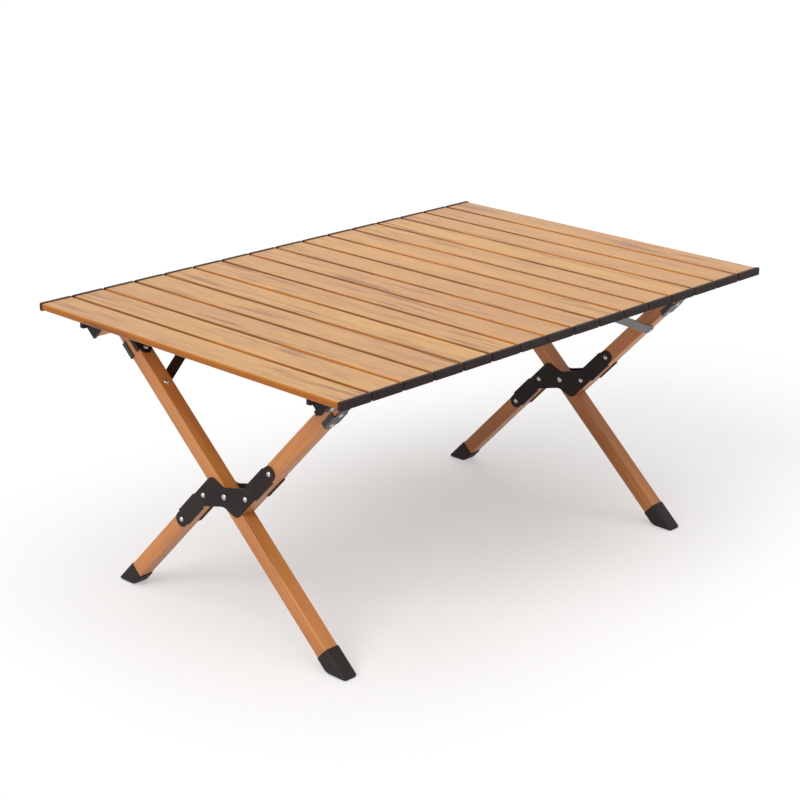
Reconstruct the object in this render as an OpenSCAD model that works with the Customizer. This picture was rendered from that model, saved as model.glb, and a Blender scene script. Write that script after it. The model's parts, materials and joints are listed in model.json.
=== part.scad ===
// Roll top camp table. Hollow slats strung on two elastic cords lie across two rails. The rails are carried
// by two crossed leg frames, each of one straight leg and one split leg joined by a pair of cross plates.
// X runs across the slats, Y along them and Z up. The origin is on the floor under the middle of the top.

/* [Top] */
// Length of the top, across the slats
top_length = 900; // [780:10:1200]
// Width of the top, along the slats
top_width = 592; // [560:2:700]
// Height of the top above the floor
top_height = 424; // [400:1:460]
// Number of slats
slat_count = 16; // [8:1:16]
// Gap between two slats
slat_gap = 3; // [2:0.5:5]
// Thickness of a slat
slat_thickness = 9.5; // [9:0.5:14]
// Wall of a slat
slat_wall = 1.2; // [0.8:0.1:1.4]
// Rounding of a slat's long edges
slat_edge = 3; // [1:0.5:4]

/* [Slat end caps] */
// Thickness of a cap's flange
cap_flange = 4.5; // [3:0.5:8]
// Height of a cap above and below its slat
cap_proud = 1; // [0.2:0.1:1.5]
// Rounding of a cap's edges
cap_edge = 2; // [0.5:0.5:2]
// Gap between two caps
cap_gap = 1.9; // [0.8:0.1:1.9]
// Length of a cap's prongs inside the slat
cap_prong = 14; // [6:1:25]
// Play of the prongs in the slat, each side
cap_play = 0.15; // [0.05:0.05:0.3]

/* [Elastic cords] */
// Diameter of a cord
cord_d = 4; // [3:0.5:5]
// Play of a cord in the slats' holes, each side
cord_play = 0.4; // [0.2:0.1:0.8]
// Distance between the two cords
cord_spacing = 380; // [200:10:420]
// Diameter of the knot in the end slats
knot_d = 6.5; // [5.5:0.5:7]

/* [Frame] */
// Side of the square tube of rails and legs
tube = 22.5; // [20:0.5:28]
// Wall of the tube
tube_wall = 1.5; // [1:0.1:2.5]
// Rounding of the tube's corners
tube_edge = 1; // [0.5:0.5:3]
// Distance from the top's long side to the middle of a rail
rail_side_inset = 72; // [60:0.5:100]
// Distance from the top's end to the end of a rail's tube
rail_end_inset = 40; // [34:1:41]
// Distance from the top's end to the middle of a leg frame
frame_inset = 87; // [86:1:140]
// Height of the cross pivot above the floor
pivot_height = 196; // [180:1:215]
// Gap between the slats and the rails
rest_gap = 0.3; // [0.1:0.1:0.8]
// Gap between a leg's end and its rail
leg_gap = 4; // [3:0.5:6]
// Gap between sheet metal and the tube that it is riveted to
seat_gap = 0.1; // [0.05:0.05:0.3]

/* [Cross plates] */
// Thickness of the steel sheet
sheet = 1.5; // [1:0.5:2.5]
// Gap between the closed legs
fold_gap = 2.5; // [2:0.5:5]
// Gap between the straight leg and the ends of the split leg, which stop it
stop_gap = 1; // [0.8:0.1:2]
// Running gap between the cross plates and the straight leg
plate_gap = 0.3; // [0.2:0.1:0.6]
// Distance along the leg from the pivot to an inner rivet
cross_rivet_inner = 36; // [32:1:42]
// Distance between the two rivets of one arm
cross_rivet_pitch = 68; // [66:1:90]
// Half width of a plate's arms
arm_half = 11; // [9:0.5:11]
// Half width of the web between the arms
web_half = 13.4; // [10:0.1:15]
// Angle between the web's edges and the split leg
web_tilt = 32; // [26:1:46]
// Reach of an arm past the pivot, at the web
arm_lobe = 10; // [2:0.5:12]
// Distance that the outer corner of an arm stands back from that reach
lobe_back = 10; // [0:0.5:12]
// Rounding of the plates' outer corners
plate_corner = 12; // [2:0.5:14]
// Rounding of the plates' inner corners
plate_fillet = 18; // [6:0.5:20]
// Distance from an inner rivet to the folded lips
lip_start = 18; // [12:1:24]
// Length of the folded lips
lip_length = 44; // [30:1:44]
// Depth of the folded lips over the tube
lip_depth = 2.5; // [2:0.5:10]

/* [Rail brackets] */
// Distance from the rail's middle to the lower leg rivet
bracket_rivet_low = 57; // [52:1:70]
// Distance from the rail's middle to the upper leg rivet
bracket_rivet_high = 33; // [28:0.5:36]
// Half width of the strap on the leg
strap_half = 9.5; // [8:0.5:11]
// Half length of the arms on the rail
bracket_arm = 44; // [42:1:46]
// Half width of the arms on the rail
bracket_arm_half = 8; // [6:0.5:8.5]
// Distance from the leg's middle to a rail rivet
rail_rivet = 38; // [30:1:38]
// Rounding of a bracket's corners
bracket_corner = 4; // [2:0.5:5]
// Distance from the rail's middle to the start of the bracket's lips
bracket_lip_start = 32; // [22:1:34]
// Length of the bracket's lips
bracket_lip_length = 26; // [18:1:38]
// Depth of the bracket's lips over the leg
bracket_lip_depth = 6; // [4:0.5:10]

/* [Rivets and pivots] */
// Diameter of a rivet
rivet_d = 4; // [3:0.5:5]
// Diameter of a rivet's head
head_d = 7.5; // [7:0.5:9]
// Height of a rivet's head
head_h = 2; // [1.5:0.1:2.4]
// Diameter of the cross pivot's pin
pivot_d = 5; // [4:0.5:6.5]
// Diameter of the pivot pin's head
pivot_head_d = 8.5; // [8:0.5:11]
// Wall of the spacer bush round the pivot pin
bush_wall = 2; // [1.5:0.5:3]
// Play of a rivet or pin in its hole, each side
rivet_play = 0.05; // [0.02:0.01:0.1]

/* [Braces] */
// Width of a brace
brace_width = 15; // [12:0.5:18]
// Thickness of a brace
brace_sheet = 2; // [1.5:0.5:3]
// Distance along the rail from the near leg to the near brace's stud
brace_reach = 183; // [140:1:240]
// Distance down the near leg from the rail to the near brace's pivot
brace_drop = 116; // [95:1:130]
// Distance down the far leg from the rail to the far brace's pivot
far_brace_drop = 104; // [95:1:130]
// Running gap on both sides of a brace
brace_gap = 0.3; // [0.2:0.1:0.6]
// Play of the stud in the brace's slot, each side
hook_play = 0.3; // [0.2:0.1:0.6]

/* [End pieces] */
// Wall of a rubber foot
boot_wall = 1.5; // [1:0.5:4]
// Length of leg inside a foot
boot_grip = 14; // [10:1:40]
// Rubber under the lowest corner of the leg
boot_sole = 8; // [2:0.5:10]
// Play of a leg in its foot, each side
boot_play = 0.1; // [0.05:0.05:0.3]
// Thickness of a rail cap's flange
rail_cap_flange = 4; // [2:0.5:6]
// Height of a rail cap's flange below the rail's lower faces
rail_cap_proud = 1.5; // [0.5:0.5:3]
// Length of the tongue that a rail cap puts under the end slat
tongue_length = 20; // [15:1:27]
// Thickness of the tongue
tongue_thickness = 6; // [2:0.5:8]
// Height of the tongue
tongue_height = 14; // [8:0.5:16]
// Rounding of the tongue's lower corner
tongue_corner = 1.5; // [0.5:0.5:6]
// Thickness of the flange of a leg plug
plug_flange = 3; // [1.5:0.5:3]
// Depth of the plugs inside the tubes
plug_depth = 12; // [6:1:14]
// Thickness of a plug's two ribs
plug_rib = 5; // [3:0.5:6]
// Play of a plug in its tube, each side
plug_play = 0.1; // [0.05:0.05:0.3]

/* [Hidden] */
$fn = 48;
corner_steps = 8;
cut_over = 1;

slat_pitch = (top_length + cap_gap) / slat_count;
slat_width = slat_pitch - slat_gap;
slat_length = top_width - 2 * cap_flange;
cap_width = slat_pitch - cap_gap;
cap_height = slat_thickness + 2 * cap_proud;
slat_middle = top_height - cap_height / 2;
slat_bottom = slat_middle - slat_thickness / 2;
web_count = 2;
cell_width = (slat_width - (web_count + 2) * slat_wall) / (web_count + 1);
cell_height = slat_thickness - 2 * slat_wall;
cell_pitch = cell_width + slat_wall;
least_edge = 0.5;
cell_edge = max(slat_edge - slat_wall, least_edge);
cord_hole_d = cord_d + 2 * cord_play;

half_tube = tube / 2;
rail_rise = (half_tube - tube_edge) * sqrt(2) + tube_edge;
rail_y = top_width / 2 - rail_side_inset;
rail_z = slat_bottom - rest_gap - rail_rise;
rail_length = top_length - 2 * rail_end_inset;
frame_x = top_length / 2 - frame_inset;
leg_offset = tube + fold_gap;
leg_reach = norm([rail_y, rail_z - pivot_height]);
split_reach = sqrt(leg_reach * leg_reach - leg_offset * leg_offset);
straight_tilt = atan2(rail_z - pivot_height, rail_y);
split_tilt = straight_tilt + asin(leg_offset / leg_reach);
leg_top = half_tube + leg_gap;

// The ends of the split leg lie across the straight leg's sides, at the angle between the two
crossing = straight_tilt + split_tilt;
end_lean = max((leg_offset + half_tube) * cos(crossing), (leg_offset - half_tube) * cos(crossing));
split_end = (half_tube + stop_gap + end_lean) / sin(crossing);

cross_rivet_outer = cross_rivet_inner + cross_rivet_pitch;
plate_inner = half_tube + plate_gap;
plate_outer = plate_inner + sheet;
bracket_inner = half_tube + seat_gap;
bracket_outer = bracket_inner + sheet;
brace_inner = half_tube + brace_gap;
brace_outer = brace_inner + brace_sheet + brace_gap;
brace_length = norm([brace_reach, brace_drop]);
far_brace_reach = sqrt(brace_length * brace_length - far_brace_drop * far_brace_drop);
bush_d = pivot_d + 2 * (rivet_play + bush_wall);
bush_length = tube + 2 * (plate_gap - rivet_play);
boot_side = tube + 2 * (boot_play + boot_wall);
plug_side = tube - 2 * (tube_wall + plug_play);

wood = [0.78, 0.56, 0.36];
leg_wood = [0.74, 0.49, 0.29];
black = [0.16, 0.15, 0.15];
steel = [0.78, 0.78, 0.79];
grey = [0.44, 0.42, 0.41];

function slat_x(i) = (i - (slat_count + 1) / 2) * slat_pitch;
function two_digits(i) = str(i < 10 ? "0" : "", i);

// Where the tube of a leg ends above the floor, for a leg axis that passes n from the pivot at a tilt
function foot_end(n, tilt) = (boot_sole - pivot_height - (n - half_tube) * cos(tilt)) / sin(tilt);

// One corner of an outline as an arc: from a to p to b with radius r
function corner_arc(a, p, b, r) =
    let (
        u = (a - p) / norm(a - p),
        v = (b - p) / norm(b - p),
        half = acos(u * v) / 2,
        middle = p + (u + v) / norm(u + v) * r / sin(half),
        first = p + u * r / tan(half) - middle,
        way = cross(p - a, b - p) > 0 ? 1 : -1,
        sweep = way * (180 - 2 * half)
    )
    [for (k = [0:corner_steps])
        let (turn = atan2(first.y, first.x) + sweep * k / corner_steps)
        middle + r * [cos(turn), sin(turn)]];

// An outline of corners [x, y, radius]
function rounded(corners) =
    let (
        count = len(corners),
        flat = [for (c = corners) [c.x, c.y]]
    )
    [for (i = [0:count - 1])
        each corner_arc(flat[(i + count - 1) % count], flat[i], flat[(i + 1) % count], corners[i].z)];

SLATS = [for (i = [1:slat_count]) str("slat_", two_digits(i))];
CAPS = [for (i = [1:slat_count]) str("slat_caps_", two_digits(i))];

// Frames of the legs: x as it is, y up along the leg from the pivot, z towards the top of the table
module on_straight_leg(x) translate([x, 0, pivot_height]) rotate([straight_tilt, 0, 0]) children();
module on_split_leg(x) translate([x, 0, pivot_height]) mirror([0, 1, 0]) rotate([split_tilt, 0, 0]) children();

// Frames of the rails, at a rail's middle and square to the leg that carries it
module on_left_rail(x) on_straight_leg(x) translate([0, leg_reach, 0]) children();
module on_right_rail(x) on_split_leg(x) translate([0, split_reach, -leg_offset]) children();
module both_frames() for (x = [-frame_x, frame_x]) translate([x, 0, 0]) children();

module rounded_block(size, r) {
    square([size.x - 2 * r, size.y], center = true);
    square([size.x, size.y - 2 * r], center = true);
    for (sx = [-1, 1], sy = [-1, 1])
        translate([sx * (size.x / 2 - r), sy * (size.y / 2 - r)]) circle(r);
}

module tube_section() difference() {
    rounded_block([tube, tube], tube_edge);
    square(tube - 2 * tube_wall, center = true);
}

// Extrudes a section along y
module along(from, to) translate([0, from, 0]) rotate([-90, 0, 0]) linear_extrude(to - from) children();

module hole_x(d) rotate([0, 90, 0]) cylinder(d = d, h = 2 * tube, center = true);
module hole_z(d) cylinder(d = d, h = 2 * tube, center = true);

module dome(d, h) {
    r = (d * d / 4 + h * h) / (2 * h);
    intersection() {
        translate([0, 0, h - r]) sphere(r);
        translate([-d, -d, 0]) cube([2 * d, 2 * d, h + cut_over]);
    }
}

// A rivet with two domed heads, from low to high along z
module rivet(low, high, d, head) {
    translate([0, 0, low]) cylinder(d = d, h = high - low);
    translate([0, 0, high]) dome(head, head_h);
    translate([0, 0, low]) mirror([0, 0, 1]) dome(head, head_h);
}

module slat(i) color(wood) {
    first = i == 1;
    last = i == slat_count;
    bore_from = first ? 0 : -slat_pitch / 2;
    bore_to = last ? 0 : slat_pitch / 2;
    translate([slat_x(i), 0, slat_middle]) difference() {
        rotate([90, 0, 0]) linear_extrude(slat_length, center = true) difference() {
            rounded_block([slat_width, slat_thickness], slat_edge);
            for (k = [-web_count / 2:web_count / 2])
                translate([k * cell_pitch, 0]) rounded_block([cell_width, cell_height], cell_edge);
        }
        for (side = [-1, 1])
            translate([bore_from, side * cord_spacing / 2, 0]) rotate([0, 90, 0])
                cylinder(d = cord_hole_d, h = bore_to - bore_from);
    }
}

module slat_cap() {
    translate([0, slat_length / 2 + cap_flange, 0]) rotate([90, 0, 0])
        linear_extrude(cap_flange) rounded_block([cap_width, cap_height], cap_edge);
    for (k = [-web_count / 2:web_count / 2])
        translate([k * cell_pitch, slat_length / 2, 0]) rotate([90, 0, 0]) linear_extrude(cap_prong)
            rounded_block([cell_width - 2 * cap_play, cell_height - 2 * cap_play], cell_edge);
}

module slat_caps(i) color(black) translate([slat_x(i), 0, slat_middle]) {
    slat_cap();
    mirror([0, 1, 0]) slat_cap();
}

module elastic_cords() color(black) {
    for (side = [-1, 1]) translate([slat_x(1), side * cord_spacing / 2, slat_middle]) {
        cord_length = slat_x(slat_count) - slat_x(1);
        rotate([0, 90, 0]) cylinder(d = cord_d, h = cord_length);
        for (x = [0, cord_length]) translate([x, 0, 0]) sphere(d = knot_d);
    }
}

// A rail with the holes for both brackets' rivets and for the stud of one brace
module rail(stud_x) difference() {
    rotate([90, 0, 90]) linear_extrude(rail_length, center = true) tube_section();
    for (x = [-frame_x, frame_x], side = [-1, 1])
        translate([x + side * rail_rivet, 0, 0]) hole_z(rivet_d + 2 * rivet_play);
    translate([stud_x, 0, 0]) hole_z(rivet_d + 2 * rivet_play);
}

module rail_left() color(leg_wood) on_left_rail(0) rail(brace_reach - frame_x);
module rail_right() color(leg_wood) on_right_rail(0) rail(frame_x - far_brace_reach);

// A plug's two ribs, which leave the middle of the tube free for rivets along z
module plug_ribs(depth) for (side = [-1, 1])
    translate([side * (plug_side - plug_rib) / 2 - plug_rib / 2, -depth, -plug_side / 2])
        cube([plug_rib, depth, plug_side]);

// The cap on a rail's end at +x, without its tongue: its flange is flush with the rail's upper faces
module rail_cap() translate([rail_length / 2, 0, 0]) rotate([0, 0, -90]) {
    along(0, rail_cap_flange) translate([1, 1] * rail_cap_proud / 2)
        rounded_block([1, 1] * (tube + rail_cap_proud), tube_edge);
    plug_ribs(plug_depth);
}

module tongue() {
    x = rail_length / 2 + rail_cap_flange / 2;
    length = tongue_length + rail_cap_flange / 2;
    translate([x, tongue_thickness / 2, rail_z + rail_rise - tongue_height]) rotate([90, 0, 0])
        linear_extrude(tongue_thickness) {
            square([length - tongue_corner, tongue_height]);
            translate([0, tongue_corner]) square([length, tongue_height - tongue_corner]);
            translate([length - tongue_corner, tongue_corner]) circle(tongue_corner);
        }
}

module rail_caps_left() color(black) for (turn = [0, 1]) mirror([turn, 0, 0]) {
    on_left_rail(0) rail_cap();
    translate([0, rail_y, 0]) tongue();
}

module rail_caps_right() color(black) for (turn = [0, 1]) mirror([turn, 0, 0]) {
    on_right_rail(0) rail_cap();
    translate([0, -rail_y, 0]) tongue();
}

// Holes for the rivets of the rail's bracket, in the rail's frame
module bracket_holes() for (y = [bracket_rivet_low, bracket_rivet_high])
    translate([0, -y, 0]) hole_z(rivet_d + 2 * rivet_play);

module leg_straight(x, braced) color(leg_wood) on_straight_leg(x) difference() {
    along(foot_end(0, straight_tilt), leg_reach - leg_top) tube_section();
    hole_x(bush_d + 2 * rivet_play);
    translate([0, leg_reach, 0]) bracket_holes();
    if (braced) translate([0, leg_reach - brace_drop, 0]) hole_z(rivet_d + 2 * rivet_play);
}

// Holes for one arm's rivets, on the half of the split leg that way points to
module cross_holes(way) for (s = [cross_rivet_inner, cross_rivet_outer])
    translate([0, way * s, 0]) hole_x(rivet_d + 2 * rivet_play);

module leg_split_upper(x, braced) color(leg_wood) on_split_leg(x) translate([0, 0, -leg_offset]) difference() {
    along(split_end, split_reach - leg_top) tube_section();
    cross_holes(1);
    translate([0, split_reach, 0]) bracket_holes();
    if (braced) translate([0, split_reach - far_brace_drop, 0]) hole_z(rivet_d + 2 * rivet_play);
}

module leg_split_lower(x) color(leg_wood) on_split_leg(x) translate([0, 0, leg_offset]) difference() {
    along(foot_end(leg_offset, split_tilt), -split_end) tube_section();
    cross_holes(-1);
}

// The plug in a leg's top end, in the rail's frame
module top_plug() translate([0, -leg_top, 0]) {
    along(0, plug_flange) rounded_block([tube, tube], tube_edge);
    plug_ribs(plug_depth);
}

module flush_plug(length) along(0, length) square(plug_side, center = true);

module leg_plugs_left() color(black) both_frames() on_left_rail(0) top_plug();

module leg_plugs_right() color(black) both_frames() {
    on_right_rail(0) top_plug();
    on_split_leg(0) translate([0, split_end, -leg_offset]) flush_plug(plug_depth);
    on_split_leg(0) translate([0, -split_end - plug_depth, leg_offset]) flush_plug(plug_depth);
}

// A rubber foot round a leg whose axis passes n from the pivot, before the floor cuts it flat
module boot(n, tilt) {
    end = foot_end(n, tilt);
    tail = (boot_sole + boot_side) / sin(tilt);
    translate([0, 0, n]) difference() {
        along(end - tail, end + boot_grip) rounded_block([boot_side, boot_side], tube_edge + boot_wall);
        along(end, end + boot_grip + cut_over) rounded_block([1, 1] * (tube + 2 * boot_play), tube_edge);
    }
}

module above_floor() difference() {
    children();
    translate([-top_length, -top_width, -top_height]) cube([2 * top_length, 2 * top_width, top_height]);
}

module feet_straight() color(black) above_floor() both_frames() on_straight_leg(0) boot(0, straight_tilt);
module feet_split() color(black) above_floor() both_frames() on_split_leg(0) boot(leg_offset, split_tilt);

// Where the edge of the web meets the line at n, along the leg
function web_edge(n) = (web_half - n * cos(web_tilt)) / sin(web_tilt);

// Where that edge meets an arm's lobe, across the leg
function lobe_edge() = (web_half - arm_lobe * sin(web_tilt)) / cos(web_tilt);

// Half of the plate's outline, from the lobe of one arm round its end to the web: x along the leg, y across
function half_plate(way) =
    let (
        near_edge = leg_offset - arm_half,
        far_edge = leg_offset + arm_half,
        arm_end = cross_rivet_outer + arm_half
    )
    [for (c = [
        [lobe_back - arm_lobe, -far_edge, plate_corner],
        [arm_end, -far_edge, arm_half],
        [arm_end, -near_edge, arm_half],
        [web_edge(-near_edge), -near_edge, plate_fillet],
        [arm_lobe, lobe_edge(), plate_fillet]
    ]) [way * c.x, way * c.y, c.z]];

module plate_outline() polygon(rounded(concat(half_plate(1), half_plate(-1))));

// One cross plate on the +x side of the legs, with lips folded over both halves of the split leg
module cross_plate() difference() {
    union() {
        translate([plate_inner, 0, 0]) rotate([90, 0, 90]) linear_extrude(sheet) plate_outline();
        for (way = [-1, 1]) translate([0, way * (cross_rivet_inner + lip_start), -way * leg_offset])
            mirror([0, way < 0 ? 1 : 0, 0]) {
                translate([plate_inner, 0, -bracket_outer]) cube([sheet, lip_length, 2 * bracket_outer]);
                for (side = [-bracket_outer, bracket_inner])
                    translate([plate_inner - lip_depth, 0, side])
                        cube([sheet + lip_depth, lip_length, sheet]);
            }
    }
    for (way = [-1, 1]) translate([0, 0, -way * leg_offset]) cross_holes(way);
    hole_x(pivot_d + 2 * rivet_play);
}

module cross_plates(x) color(black) on_split_leg(x) for (turn = [0, 1]) mirror([turn, 0, 0]) cross_plate();

module cross_rivets() color(steel) both_frames() on_split_leg(0)
    for (way = [-1, 1], s = [cross_rivet_inner, cross_rivet_outer])
        translate([0, way * s, -way * leg_offset]) rotate([0, 90, 0])
            rivet(-plate_outer, plate_outer, rivet_d, head_d);

module pivot_pins() color(steel) both_frames() on_split_leg(0) rotate([0, 90, 0])
    rivet(-plate_outer, plate_outer, pivot_d, pivot_head_d);

module pivot_bushes() color(steel) both_frames() on_straight_leg(0) rotate([0, 90, 0]) difference() {
    cylinder(d = bush_d, h = bush_length, center = true);
    cylinder(d = pivot_d + 2 * rivet_play, h = bush_length + cut_over, center = true);
}

// A bracket on the outer side of a leg and its rail, in the rail's frame: a strap with lips down the leg
// and two arms along the rail
module rail_bracket() {
    strap_end = -bracket_rivet_low - strap_half;
    outline = concat(
        [[-strap_half, strap_end, strap_half], [strap_half, strap_end, strap_half]],
        [[strap_half, -bracket_arm_half, bracket_corner]],
        [[bracket_arm, -bracket_arm_half, bracket_corner], [bracket_arm, bracket_arm_half, bracket_corner]],
        [[-bracket_arm, bracket_arm_half, bracket_corner], [-bracket_arm, -bracket_arm_half, bracket_corner]],
        [[-strap_half, -bracket_arm_half, bracket_corner]]
    );
    lip_from = -bracket_lip_start - bracket_lip_length;
    difference() {
        union() {
            translate([0, 0, -bracket_outer]) linear_extrude(sheet) polygon(rounded(outline));
            translate([-bracket_outer, lip_from, -bracket_outer])
                cube([2 * bracket_outer, bracket_lip_length, sheet]);
            for (x = [-bracket_outer, bracket_inner]) translate([x, lip_from, -bracket_outer])
                cube([sheet, bracket_lip_length, sheet + bracket_lip_depth]);
        }
        bracket_holes();
        for (side = [-1, 1]) translate([side * rail_rivet, 0, 0]) hole_z(rivet_d + 2 * rivet_play);
    }
}

module inner_bracket() mirror([0, 0, 1]) rail_bracket();

module outer_brackets_left() color(grey) both_frames() on_left_rail(0) rail_bracket();
module outer_brackets_right() color(grey) both_frames() on_right_rail(0) rail_bracket();
module inner_brackets_left() color(black) both_frames() on_left_rail(0) inner_bracket();
module inner_brackets_right() color(black) both_frames() on_right_rail(0) inner_bracket();

module bracket_rivet_set() {
    for (y = [bracket_rivet_low, bracket_rivet_high])
        translate([0, -y, 0]) rivet(-bracket_outer, bracket_outer, rivet_d, head_d);
    for (side = [-1, 1])
        translate([side * rail_rivet, 0, 0]) rivet(-bracket_outer, bracket_outer, rivet_d, head_d);
}

// The pivot of a brace on its leg and the stud on the rail that its slot hangs on
module brace_studs(reach, drop) for (at = [[0, -drop], [reach, 0]])
    translate(at) rivet(-brace_outer, half_tube, rivet_d, head_d);

module bracket_rivets_left() color(steel) {
    both_frames() on_left_rail(0) bracket_rivet_set();
    on_left_rail(-frame_x) brace_studs(brace_reach, brace_drop);
}

module bracket_rivets_right() color(steel) {
    both_frames() on_right_rail(0) bracket_rivet_set();
    on_right_rail(frame_x) mirror([1, 0, 0]) brace_studs(far_brace_reach, far_brace_drop);
}

// A flat brace from its pivot on the leg to the stud on the rail, with a slot open to its upper edge
module brace(drop) translate([0, -drop, -brace_inner - brace_sheet]) rotate([0, 0, asin(drop / brace_length)])
    linear_extrude(brace_sheet) difference() {
        union() {
            translate([0, -brace_width / 2]) square([brace_length, brace_width]);
            for (x = [0, brace_length]) translate([x, 0]) circle(d = brace_width);
        }
        circle(d = rivet_d + 2 * rivet_play);
        translate([brace_length, 0]) circle(d = rivet_d + 2 * hook_play);
        translate([brace_length - rivet_d / 2 - hook_play, 0]) square([rivet_d + 2 * hook_play, brace_width]);
    }

module brace_near() color(grey) on_left_rail(-frame_x) brace(brace_drop);
module brace_far() color(grey) on_right_rail(frame_x) mirror([1, 0, 0]) brace(far_brace_drop);

for (i = [1:slat_count]) {
    slat(i);
    slat_caps(i);
}
elastic_cords();
rail_left();
rail_right();
rail_caps_left();
rail_caps_right();
leg_straight(-frame_x, true);  // leg_straight_near
leg_straight(frame_x, false);  // leg_straight_far
leg_split_upper(-frame_x, false);  // leg_split_upper_near
leg_split_upper(frame_x, true);  // leg_split_upper_far
leg_split_lower(-frame_x);  // leg_split_lower_near
leg_split_lower(frame_x);  // leg_split_lower_far
leg_plugs_left();
leg_plugs_right();
feet_straight();
feet_split();
cross_plates(-frame_x);  // cross_plates_near
cross_plates(frame_x);  // cross_plates_far
cross_rivets();
pivot_pins();
pivot_bushes();
outer_brackets_left();
outer_brackets_right();
inner_brackets_left();
inner_brackets_right();
bracket_rivets_left();
bracket_rivets_right();
brace_near();
brace_far();
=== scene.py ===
import json
import math

import bmesh
import bpy
import numpy as np
from mathutils import Matrix, Vector


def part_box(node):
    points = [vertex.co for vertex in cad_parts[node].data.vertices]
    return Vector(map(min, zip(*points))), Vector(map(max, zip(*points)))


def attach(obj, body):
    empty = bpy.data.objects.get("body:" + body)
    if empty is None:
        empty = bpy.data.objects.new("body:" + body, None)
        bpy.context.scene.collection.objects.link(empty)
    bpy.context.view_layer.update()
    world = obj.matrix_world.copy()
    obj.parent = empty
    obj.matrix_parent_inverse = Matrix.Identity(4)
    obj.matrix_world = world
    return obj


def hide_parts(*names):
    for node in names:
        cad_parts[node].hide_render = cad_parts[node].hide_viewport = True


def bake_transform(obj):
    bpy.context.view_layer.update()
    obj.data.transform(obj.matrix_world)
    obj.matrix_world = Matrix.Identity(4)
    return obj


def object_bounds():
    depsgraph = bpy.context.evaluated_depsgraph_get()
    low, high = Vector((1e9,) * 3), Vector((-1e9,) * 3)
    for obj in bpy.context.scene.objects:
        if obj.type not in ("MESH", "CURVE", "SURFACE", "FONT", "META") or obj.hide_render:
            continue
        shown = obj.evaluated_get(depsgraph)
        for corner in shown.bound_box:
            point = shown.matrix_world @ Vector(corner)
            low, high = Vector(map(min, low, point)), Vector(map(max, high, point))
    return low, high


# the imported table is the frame: metres, X across the slats, Y along them, Z up from the floor
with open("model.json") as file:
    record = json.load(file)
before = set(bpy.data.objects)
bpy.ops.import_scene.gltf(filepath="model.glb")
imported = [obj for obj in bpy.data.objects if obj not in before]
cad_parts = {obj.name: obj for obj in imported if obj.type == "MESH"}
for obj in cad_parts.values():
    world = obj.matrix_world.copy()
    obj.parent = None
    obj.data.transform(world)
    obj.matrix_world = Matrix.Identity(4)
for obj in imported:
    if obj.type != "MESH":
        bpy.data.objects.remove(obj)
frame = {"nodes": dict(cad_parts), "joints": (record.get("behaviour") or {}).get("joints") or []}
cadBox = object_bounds()
nodes = frame["nodes"]
joints = {joint["name"]: joint for joint in frame["joints"]}

# places that the looks take from the frame
topFront = cadBox[0].x
slatLow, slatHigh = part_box("slat_01")
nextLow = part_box("slat_02")[0]
slatPitch = nextLow.x - slatLow.x
slatGap = nextLow.x - slatHigh.x
slatCount = sum(name.startswith("slat_caps_") for name in nodes)
pivotHeight = joints["frame_fold"]["pos_m"][2]
frameX = joints["brace_far_swing"]["pos_m"][0]
straightAxis = joints["brace_near_swing"]["axis"]
splitAxis = joints["brace_far_swing"]["axis"]
straightTilt = math.atan2(straightAxis[1], -straightAxis[2])
splitTilt = math.atan2(-splitAxis[1], -splitAxis[2])

# camera: metres, degrees and millimetres of a 36 mm wide sensor
shot = {
    "place": (-2.03846, -1.87422, 1.20417),
    "heading": 47.022,
    "down": 19.096,
    "roll": 0.971,
    "lens": 88.796,
    "sensor": 36.0,
}


def makeCamera():
    heading, down, roll = (math.radians(shot[key]) for key in ("heading", "down", "roll"))
    ahead = Vector((math.sin(heading), math.cos(heading), 0))
    forward = ahead * math.cos(down) - Vector((0, 0, math.sin(down)))
    level = Vector((math.cos(heading), -math.sin(heading), 0))
    upright = level.cross(forward)
    right = math.cos(roll) * level + math.sin(roll) * upright
    up = math.cos(roll) * upright - math.sin(roll) * level
    data = bpy.data.cameras.new("camera")
    data.lens = shot["lens"]
    data.sensor_width = shot["sensor"]
    camera = bpy.data.objects.new("camera", data)
    turned = Matrix((right, up, -forward)).transposed().to_4x4()
    camera.matrix_world = Matrix.Translation(shot["place"]) @ turned
    bpy.context.scene.collection.objects.link(camera)
    bpy.context.scene.camera = camera


makeCamera()
print("camera set")


# one socket of a material's tree; arithmetic on it adds Math nodes
class Wire:
    def __init__(self, finish, socket):
        self.finish = finish
        self.socket = socket

    def math(self, operation, first, second):
        return self.finish.node("Math", {"operation": operation}, {0: first, 1: second})

    def __add__(self, other):
        return self.math("ADD", self, other)

    def __sub__(self, other):
        return self.math("SUBTRACT", self, other)

    def __rsub__(self, other):
        return self.math("SUBTRACT", other, self)

    def __mul__(self, other):
        return self.math("MULTIPLY", self, other)

    def __truediv__(self, other):
        return self.math("DIVIDE", self, other)

    def __rtruediv__(self, other):
        return self.math("DIVIDE", other, self)

    __radd__ = __add__
    __rmul__ = __mul__


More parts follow.
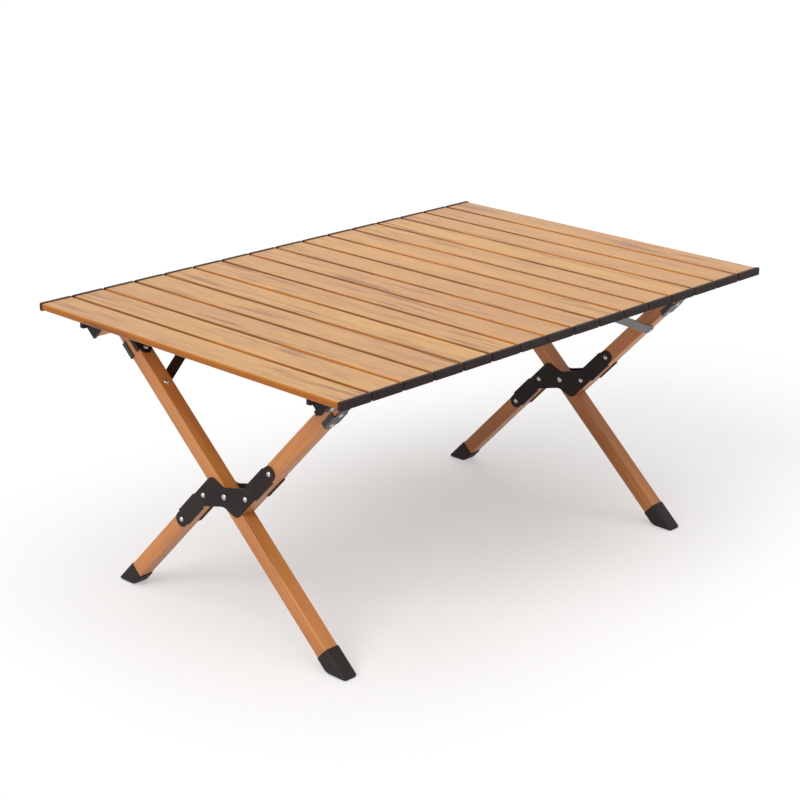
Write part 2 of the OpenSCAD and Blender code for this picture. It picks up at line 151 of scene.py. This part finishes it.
# the node tree of a material or world, and the helpers that draw its nodes
class Finish:
    def __init__(self, owner):
        owner.use_nodes = True
        self.owner = owner
        self.tree = owner.node_tree
        self.tree.nodes.clear()

    @classmethod
    def material(cls, name):
        return cls(bpy.data.materials.new(name))

    def node(self, kind, settings=None, sockets=None, out=0):
        made = self.tree.nodes.new("ShaderNode" + kind)
        for key, value in (settings or {}).items():
            setattr(made, key, value)
        for key, value in (sockets or {}).items():
            if isinstance(value, Wire):
                self.tree.links.new(value.socket, made.inputs[key])
            elif isinstance(value, tuple) and made.inputs[key].type == "RGBA":
                made.inputs[key].default_value = (*value, 1)
            else:
                made.inputs[key].default_value = value
        return Wire(self, made.outputs[out])

    # several outputs of the node that a wire comes from
    def outputs(self, wire, *names):
        return [Wire(self, wire.socket.node.outputs[name]) for name in names]

    def place(self):
        return self.node("TexCoord", out="Object")

    # the place in a frame turned about X, with each axis stretched: the inverse of turn and scale
    def turned(self, turn, stretch):
        return self.node("Mapping", {"vector_type": "TEXTURE"}, {
            "Vector": self.place(),
            "Location": (0, 0, pivotHeight),
            "Rotation": (turn, 0, 0),
            "Scale": tuple(1 / value for value in stretch),
        })

    def noise(self, place, scale, detail):
        return self.node("TexNoise", {}, {"Vector": place, "Scale": scale, "Detail": detail})

    # noise drawn out along the grain, which lies along X or else along a Y axis turned about X
    def grain(self, layer, turn=0, alongX=False):
        across, along = layer["repeats"]
        stretch = (along, across, across) if alongX else (across, along, across)
        return self.noise(self.turned(turn, stretch), 1.0, layer["detail"])

    # 0 below low, 1 above high and a smooth step between
    def step(self, value, low, high):
        return self.node("MapRange", {"interpolation_type": "SMOOTHSTEP"}, {
            "Value": value,
            "From Min": low,
            "From Max": high,
        })

    def mix(self, factor, first, second):
        return self.node("Mix", {"data_type": "RGBA"}, {0: factor, 6: first, 7: second}, out=2)

    def bump(self, height, depth, strength):
        return self.node("Bump", {}, {"Height": height, "Distance": depth, "Strength": strength})

    def output(self, kind, shader):
        end = self.tree.nodes.new("ShaderNodeOutput" + kind)
        self.tree.links.new(shader.socket, end.inputs["Surface"])
        return self.owner

    def surface(self, **sockets):
        named = {key.replace("_", " "): value for key, value in sockets.items()}
        return self.output("Material", self.node("BsdfPrincipled", {}, named))


# light film on the slats; a grain has its repeats per metre across and along it, the noise levels
# between which it comes up, and the share of its colour; depths are metres from a slat's faces
slatLook = {
    "gold": (0.685, 0.380, 0.132),
    "rose": (0.565, 0.295, 0.136),
    "fibre": (0.43, 0.215, 0.080),
    "smoke": (0.25, 0.115, 0.074),
    # a slat's side is the band colour, turning to the lighter edge colour near its top: a painted highlight
    # on the rounding that faces the light
    "edge": (0.45, 0.154, 0.010),
    # dark patches on the sides, which also paint the shade in the gaps between slats
    "edgeDarkAndGapShade": (0.17, 0.052, 0.010),
    "band": (0.37, 0.106, 0.002),
    "under": (0.31, 0.115, 0.030),
    "tone": {"repeats": (26, 3), "detail": 2.0, "levels": (0.32, 0.68), "share": 0.55},
    "fine": {"repeats": (620, 9), "detail": 4.0, "levels": (0.48, 0.76), "share": 0.42},
    "mottle": {"repeats": (150, 15), "detail": 3.0, "levels": (0.46, 0.64), "share": 0.36},
    "cluster": {"repeats": (20, 4.0), "detail": 3.0, "levels": (0.42, 0.62)},
    "streak": {"repeats": (115, 6.5), "detail": 4.0, "levels": (0.49, 0.60), "share": 0.70},
    # the patches come up more on the slats behind the open front, as painted shade in the gaps between
    # slats
    "edgePatch": {"repeats": (40, 4), "detail": 3.0, "levels": (0.56, 0.74), "share": 0.85, "inside": 0.16},
    "edgeDepth": (0.00035, 0.00002),
    # depths below the top between which the painted highlight on the sides fades in
    "bandHighlightDepth": (0.0028, 0.0006),
    "underside": (0.0003, 0.0012),
    "underShare": 0.8,
    "openFront": (0.012, 0.024),
    "roughness": (0.38, 0.12),
    "shine": 0.32,
    "filmDepth": 0.00004,
    "bump": 0.5,
}


def makeSlatFilm():
    finish = Finish.material("slat_film")
    look = slatLook

    def layer(key):
        return finish.step(finish.grain(look[key]), *look[key]["levels"])

    # 0 at the first depth below a slat's top face and 1 at the second
    def upFrom(depths):
        return finish.step(height, *(slatHigh.z - depth for depth in depths))

    split = finish.node("SeparateXYZ", {}, {"Vector": finish.place()})
    across, height = finish.outputs(split, "X", "Z")
    # each slat has a tint of its own, drawn by its number
    cell = finish.node("Math", {"operation": "FLOOR"}, {0: (across - topFront) / slatPitch})
    tint = finish.node("TexWhiteNoise", {"noise_dimensions": "1D"}, {"W": cell})
    toneShare = look["tone"]["share"]
    film = finish.mix(layer("tone") * toneShare + tint * (1 - toneShare), look["gold"], look["rose"])
    fine = finish.grain(look["fine"])
    fibre = finish.step(fine, *look["fine"]["levels"])
    film = finish.mix(fibre * look["fine"]["share"], film, look["fibre"])
    film = finish.mix(layer("mottle") * look["mottle"]["share"], film, look["fibre"])
    smoke = layer("cluster") * layer("streak")
    film = finish.mix(smoke * look["streak"]["share"], film, look["smoke"])
    # dark patches on the slats' sides, which come up more on the edges inside the top: painted shade in the
    # gaps between slats, which the open front edge lacks
    patchLook = look["edgePatch"]
    inside = finish.step(across, *(topFront + depth for depth in look["openFront"]))
    patchAndGapShade = finish.step(finish.grain(patchLook) + inside * patchLook["inside"], *patchLook["levels"])
    # painted highlight: the side turns from the band colour to the lighter edge colour towards its top
    edge = finish.mix(upFrom(look["bandHighlightDepth"]), look["band"], look["edge"])
    edge = finish.mix(patchAndGapShade * patchLook["share"], edge, look["edgeDarkAndGapShade"])
    below = 1 - finish.step(height, *(slatLow.z + rise for rise in look["underside"]))
    under = finish.mix(look["underShare"], film, look["under"])
    film = finish.mix(below, finish.mix(upFrom(look["edgeDepth"]), edge, film), under)
    base, spread = look["roughness"]
    return finish.surface(
        Base_Color=film,
        Roughness=base + fine * spread,
        Specular_IOR_Level=look["shine"],
        Normal=finish.bump(fine, look["filmDepth"], look["bump"]),
    )


# darker film on rails and legs, with its grain along the tube
tubeLook = {
    "amber": (0.60, 0.230, 0.058),
    "brown": (0.49, 0.172, 0.044),
    "fibre": (0.34, 0.108, 0.028),
    "streak": (0.15, 0.045, 0.014),
    "tone": {"repeats": (45, 5), "detail": 2.0, "levels": (0.34, 0.66)},
    "fine": {"repeats": (520, 9), "detail": 4.0, "levels": (0.47, 0.78), "share": 0.5},
    "dark": {"repeats": (110, 4), "detail": 3.0, "levels": (0.60, 0.74), "share": 0.6},
    "roughness": (0.32, 0.12),
    "filmDepth": 0.00004,
    "bump": 0.5,
}


def makeTubeFilm(name, turn, alongX=False):
    finish = Finish.material(name)
    look = tubeLook
    grains = {key: finish.grain(look[key], turn, alongX) for key in ("tone", "fine", "dark")}
    layers = {key: finish.step(grains[key], *look[key]["levels"]) for key in grains}
    film = finish.mix(layers["tone"], look["amber"], look["brown"])
    film = finish.mix(layers["fine"] * look["fine"]["share"], film, look["fibre"])
    film = finish.mix(layers["dark"] * look["dark"]["share"], film, look["streak"])
    base, spread = look["roughness"]
    return finish.surface(
        Base_Color=film,
        Roughness=base + grains["fine"] * spread,
        Normal=finish.bump(grains["fine"], look["filmDepth"], look["bump"]),
    )


# coated, moulded and rubber surfaces: two close colours, pebbles per metre and their depth in metres
coatLooks = {
    "cap_plastic": {
        "colors": ((0.019, 0.0100, 0.0095), (0.032, 0.0185, 0.0175)),
        "pebbles": 2400,
        "depth": 0.00006,
        "roughness": (0.46, 0.16),
        "shine": 0.17,
    },
    "plate_coat": {
        "colors": ((0.014, 0.0085, 0.0080), (0.024, 0.0155, 0.0150)),
        "pebbles": 1700,
        "depth": 0.00003,
        "roughness": (0.36, 0.14),
        "shine": 0.15,
    },
    "bracket_coat": {
        "colors": ((0.012, 0.0075, 0.0070), (0.020, 0.0135, 0.0130)),
        "pebbles": 1700,
        "depth": 0.00003,
        "roughness": (0.28, 0.14),
        "shine": 0.44,
    },
    "foot_rubber": {
        "colors": ((0.016, 0.0105, 0.0105), (0.027, 0.0190, 0.0190)),
        "pebbles": 900,
        "depth": 0.00005,
        "roughness": (0.52, 0.18),
        "shine": 0.24,
    },
}
# what all coats share: a cloud's width in pebbles, and its part in the shade
coatShade = {"cloudWidth": 60, "cloudShare": 0.7, "levels": (0.35, 0.65), "detail": 3.0, "bump": 0.6}


def makeCoat(name):
    finish = Finish.material(name)
    look = coatLooks[name]
    pebble = finish.noise(finish.place(), look["pebbles"], coatShade["detail"])
    cloud = finish.noise(finish.place(), look["pebbles"] / coatShade["cloudWidth"], coatShade["detail"])
    shade = cloud * coatShade["cloudShare"] + pebble * (1 - coatShade["cloudShare"])
    base, spread = look["roughness"]
    return finish.surface(
        Base_Color=finish.mix(finish.step(shade, *coatShade["levels"]), *look["colors"]),
        Roughness=base + cloud * spread,
        Specular_IOR_Level=look["shine"],
        Normal=finish.bump(pebble, look["depth"], coatShade["bump"]),
    )


# plated steel of the rivets, with fine tumbling marks per metre
steelLook = {
    "color": (0.52, 0.51, 0.50),
    "dull": (0.38, 0.37, 0.36),
    "marks": 900,
    "detail": 3.0,
    "levels": (0.4, 0.7),
    "roughness": (0.22, 0.16),
    "depth": 0.00001,
    "bump": 0.4,
}


def makeSteel():
    finish = Finish.material("bright_steel")
    look = steelLook
    marks = finish.noise(finish.place(), look["marks"], look["detail"])
    base, spread = look["roughness"]
    return finish.surface(
        Base_Color=finish.mix(finish.step(marks, *look["levels"]), look["color"], look["dull"]),
        Metallic=1.0,
        Roughness=base + marks * spread,
        Normal=finish.bump(marks, look["depth"], look["bump"]),
    )


# braided cover of the cords: ribs about the cord and along a slat's pitch
coverLook = {
    "ribs": 8,
    "turns": 20,
    "dark": (0.012, 0.012, 0.012),
    "light": (0.060, 0.058, 0.056),
    "roughness": 0.75,
    "depth": 0.0002,
    "bump": 0.8,
}


# the ribs are the product of two sine waves that cross on the cord's own UV map, brought to 0 to 1
def makeCordCover():
    finish = Finish.material("cord_cover")
    look = coverLook
    split = finish.node("SeparateXYZ", {}, {"Vector": finish.node("TexCoord", out="UV")})
    along, around = finish.outputs(split, "X", "Y")
    along = along * (2 * math.pi * look["turns"])
    around = around * (2 * math.pi * look["ribs"])
    left = finish.node("Math", {"operation": "SINE"}, {0: along + around})
    right = finish.node("Math", {"operation": "SINE"}, {0: along - around})
    rib = left * right * 0.5 + 0.5
    return finish.surface(
        Base_Color=finish.mix(rib, look["dark"], look["light"]),
        Roughness=look["roughness"],
        Normal=finish.bump(rib, look["depth"], look["bump"]),
    )


films = {
    "slats": makeSlatFilm(),
    "straight": makeTubeFilm("straight_leg_film", straightTilt),
    "split": makeTubeFilm("split_leg_film", math.pi - splitTilt),
    "railLeft": makeTubeFilm("left_rail_film", straightTilt, True),
    "railRight": makeTubeFilm("right_rail_film", math.pi - splitTilt, True),
}
coats = {name: makeCoat(name) for name in coatLooks}
brightSteel = makeSteel()
cordCover = makeCordCover()

# a node takes the first finish whose key its name starts with, so slat_caps stands before slat
finishOf = {
    "slat_caps": coats["cap_plastic"],
    "slat": films["slats"],
    "rail_caps": coats["plate_coat"],
    "rail_left": films["railLeft"],
    "rail_right": films["railRight"],
    "leg_plugs": coats["cap_plastic"],
    "leg_straight": films["straight"],
    "leg_split": films["split"],
    "feet": coats["foot_rubber"],
    "cross_plates": coats["plate_coat"],
    "outer_brackets": coats["bracket_coat"],
    "inner_brackets": coats["plate_coat"],
    "cross_rivets": brightSteel,
    "bracket_rivets": brightSteel,
    "pivot": brightSteel,
    "brace": coats["bracket_coat"],
    "elastic_cords": cordCover,
}
for name, node in nodes.items():
    finish = next(finishOf[start] for start in finishOf if name.startswith(start))
    for slot in node.material_slots:
        slot.material = finish
print("finishes:", len(bpy.data.materials))

# edges that turn by more degrees than this stay sharp
sharpEdge = 40


def newPiece(name, points, faces, finish):
    mesh = bpy.data.meshes.new(name)
    mesh.from_pydata(points.reshape(-1, 3).tolist(), [], faces)
    mesh.materials.append(finish)
    mesh.shade_smooth()
    mesh.set_sharp_from_angle(angle=math.radians(sharpEdge))
    piece = bpy.data.objects.new(name, mesh)
    bpy.context.scene.collection.objects.link(piece)
    return piece


# quads of a grid of rings, each ring closed on itself, with one face over each end
def ringFaces(rings, around, start=0):
    ring, turn = np.meshgrid(np.arange(rings - 1), np.arange(around), indexing="ij")
    here = ring * around
    above = here + around
    after = (turn + 1) % around
    corners = (here + turn, here + after, above + after, above + turn)
    quads = (np.stack(corners, axis=-1) + start).reshape(-1, 4).tolist()
    first = (np.arange(around)[::-1] + start).tolist()
    last = (np.arange(around) + (rings - 1) * around + start).tolist()
    return quads + [first, last]


# faces of two like shells whose points follow each other
def pairFaces(shells):
    rings, around = shells.shape[1:3]
    return ringFaces(rings, around) + ringFaces(rings, around, rings * around)


# rubber feet, in metres: the wall, the roundings of the outer edges, the pocket, the rim and the
# sole's edge, the depth of the pocket, and the points on each rounding
footLook = {
    "wall": 0.0015,
    "corner": 0.0036,
    "pocket": 0.0011,
    "rim": 0.0007,
    "sole": 0.0050,
    "grip": 0.013,
    "cornerSteps": 9,
    "rimSteps": 5,
    "soleSteps": 9,
}


# a square outline with round corners: four arcs of the corner radius about the inner corners
def squareOutline(half, radius):
    quarter = math.pi / 2
    start = np.arange(4) * quarter
    turn = np.linspace(0, quarter, footLook["cornerSteps"])[None, :] + start[:, None]
    middle = start + quarter / 2
    corner = np.stack((np.sign(np.cos(middle)), np.sign(np.sin(middle))), axis=-1) * (half - radius)
    arc = np.stack((np.cos(turn), np.sin(turn)), axis=-1) * radius
    return (corner[:, None, :] + arc).reshape(-1, 2)


# a foot's rings about its leg's line: two of the pocket, a quarter circle over the rim, then a quarter
# circle round the sole, where each line of the outline runs down the leg to the ring's height
def footRings(tilt, side, x, node):
    low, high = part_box(node)
    half = high.x - frameX
    lift = high.z - pivotHeight - half * math.cos(tilt)
    reach = side * (high.y if side > 0 else low.y) - half * math.sin(tilt)
    rimAt = lift * math.sin(tilt) + reach * math.cos(tilt)
    offset = lift * math.cos(tilt) - reach * math.sin(tilt)
    along = np.array((0, side * math.cos(tilt), math.sin(tilt)))
    across = np.array((0, -side * math.sin(tilt), math.cos(tilt)))
    middle = np.array((x, 0, pivotHeight)) + offset * across
    outer = squareOutline(half, footLook["corner"])
    inner = squareOutline(half - footLook["wall"], footLook["pocket"])

    def ring(outline, reachAlong):
        sideways = outline[:, :1] * (1, 0, 0) + outline[:, 1:] * across
        return middle + sideways + np.outer(reachAlong, along)

    # where each line of the outline comes down to a height above the floor
    def downTo(outline, height):
        return (height - middle[2] - outline[:, 1] * across[2]) / along[2]

    flat = np.ones(len(outer))
    rings = [ring(inner, flat * (rimAt - footLook["grip"])), ring(inner, flat * rimAt)]
    for turn in np.linspace(0, math.pi / 2, footLook["rimSteps"])[1:]:
        inset = footLook["rim"] * (1 - math.sin(turn))
        drop = footLook["rim"] * (1 - math.cos(turn))
        rings.append(ring(outer * (1 - inset / half), flat * (rimAt - drop)))
    sole = footLook["sole"]
    for turn in np.linspace(0, math.pi / 2, footLook["soleSteps"]):
        edge = outer * (1 - sole * (1 - math.cos(turn)) / half)
        rings.append(ring(edge, downTo(edge, sole * (1 - math.sin(turn)))))
    return np.array(rings)


def makeFeet(node, body, tilt, side):
    shells = np.array([footRings(tilt, side, x, node) for x in (-frameX, frameX)])
    piece = newPiece("rubber_" + node, shells, pairFaces(shells), coats["foot_rubber"])
    # one side's rings run the other way round, so the faces are turned outwards
    outward = bmesh.new()
    outward.from_mesh(piece.data)
    bmesh.ops.recalc_face_normals(outward, faces=outward.faces)
    outward.to_mesh(piece.data)
    outward.free()
    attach(piece, body)
    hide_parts(node)


makeFeet("feet_straight", "left_frame", straightTilt, 1)
makeFeet("feet_split", "right_frame", splitTilt, -1)
print("feet made")


# UV of a cord: pitches along it, and turns about its own axis
def mapCord(piece, startX):
    mesh = piece.data
    spots = np.zeros(len(mesh.vertices) * 3)
    mesh.vertices.foreach_get("co", spots)
    corner = np.zeros(len(mesh.loops), dtype=np.int32)
    mesh.loops.foreach_get("vertex_index", corner)
    x, y, z = spots.reshape(-1, 3)[corner].T
    axisY = np.where(y > 0, 1, -1) * (abs(y).max() + abs(y).min()) / 2
    axisZ = (z.max() + z.min()) / 2
    around = np.arctan2(z - axisZ, y - axisY) / (2 * math.pi) % 1
    uv = np.stack(((x - startX) / slatPitch, around), axis=-1)
    mesh.uv_layers.new(name="cord")
    mesh.uv_layers["cord"].data.foreach_set("uv", uv.ravel().astype(np.float32))


# elastic cords: the diameter in metres, the points of a ring, the rings of a pitch, and the smallest
# radius at a knot's end as a part of the cord's
cordLook = {"diameter": 0.004, "sides": 14, "rings": 48, "tip": 0.3}


# a round profile carried along X from slat middle to slat middle, as thick as the cord or, in the end
# slats, as the ball of the knot: the root of its radius squared less the way from its middle squared
def makeCords():
    low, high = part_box("elastic_cords")
    knot = (high.z - low.z) / 2
    height = (high.z + low.z) / 2
    firstX = low.x + knot
    lastX = high.x - knot
    radius = cordLook["diameter"] / 2
    turn = np.linspace(0, 2 * math.pi, cordLook["sides"], endpoint=False)
    circle = np.stack((np.zeros_like(turn), np.cos(turn), np.sin(turn)), axis=-1)
    for index in range(slatCount - 1):
        startX = firstX + index * slatPitch
        endX = startX + slatPitch
        pathStart = startX - knot * (index == 0)
        pathEnd = endX + knot * (index == slatCount - 2)
        path = np.linspace(pathStart, pathEnd, cordLook["rings"])
        away = np.minimum(np.abs(path - firstX), np.abs(path - lastX))
        ball = knot ** 2 - away ** 2
        thick = np.maximum(radius, np.sqrt(np.clip(ball, 0, None)))
        tip = np.sqrt(np.clip(ball, (cordLook["tip"] * radius) ** 2, None))
        thick = np.where((path < firstX) | (path > lastX), tip, thick)
        rings = path[:, None, None] * np.array((1, 0, 0)) + thick[:, None, None] * circle
        shells = np.array([rings + np.array((0, y, height)) for y in (low.y + knot, high.y - knot)])
        piece = newPiece(f"cords_{index + 1:02d}", shells, pairFaces(shells), cordCover)
        mapCord(piece, startX)
        hinge = (startX + endX) / 2
        hinge - slatGap / 2
        hinge + slatGap / 2
        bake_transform(piece)
        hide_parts("elastic_cords")


makeCords()
print("cords made")

# stage: a pale floor, a white surround for camera and reflections, soft light at a plain level
stageLook = {
    "floorSize": 40.0,
    "floorDrop": 0.0004,
    "floorColor": (0.90, 0.90, 0.90),
    "floorSeen": (0.56, 0.56, 0.56),
    "floorLift": (0.43, 0.43, 0.43),
    "surround": 0.24,
    "suns": {
        "front_sun": {"towards": (-0.80, -0.10, 0.59), "strength": 1.46, "angle": 30},
        "top_sun": {"towards": (-0.10, -0.15, 1.0), "strength": 1.70, "angle": 70},
    },
}


# 1 for what the camera sees straight on, in a reflection or through glass, and 0 for light
def cameraRays(finish):
    path = finish.node("LightPath")
    camera, glossy, through = finish.outputs(path, "Is Camera Ray", "Is Glossy Ray", "Is Transmission Ray")
    return finish.node("Math", {"operation": "MINIMUM"}, {0: camera + glossy + through, 1: 1.0})


def makeFloor():
    half = stageLook["floorSize"] / 2
    spots = np.array(((-half, -half), (half, -half), (half, half), (-half, half)))
    points = np.column_stack((spots, np.full(4, -stageLook["floorDrop"])))
    finish = Finish.material("floor_paint")
    seen = cameraRays(finish)
    paint = finish.surface(
        Base_Color=finish.mix(seen, stageLook["floorColor"], stageLook["floorSeen"]),
        Roughness=1.0,
        Specular_IOR_Level=0.0,
        Emission_Color=finish.mix(seen, (0, 0, 0), stageLook["floorLift"]),
        Emission_Strength=1.0,
    )
    floor = newPiece("floor", points, [[0, 1, 2, 3]], paint)


def makeLight():
    sky = Finish(bpy.data.worlds.new("surround"))
    strength = stageLook["surround"] + cameraRays(sky) * (1 - stageLook["surround"])
    glow = sky.node("Background", {}, {"Color": (1, 1, 1), "Strength": strength})
    bpy.context.scene.world = sky.output("World", glow)
    for name, look in stageLook["suns"].items():
        data = bpy.data.lights.new(name, "SUN")
        data.energy = look["strength"]
        data.angle = math.radians(look["angle"])
        lamp = bpy.data.objects.new(name, data)
        lamp.rotation_mode = "QUATERNION"
        lamp.rotation_quaternion = Vector(look["towards"]).to_track_quat("Z", "Y")
        bpy.context.scene.collection.objects.link(lamp)


makeFloor()
makeLight()
bpy.context.scene.view_settings.view_transform = "Standard"
print("stage set")
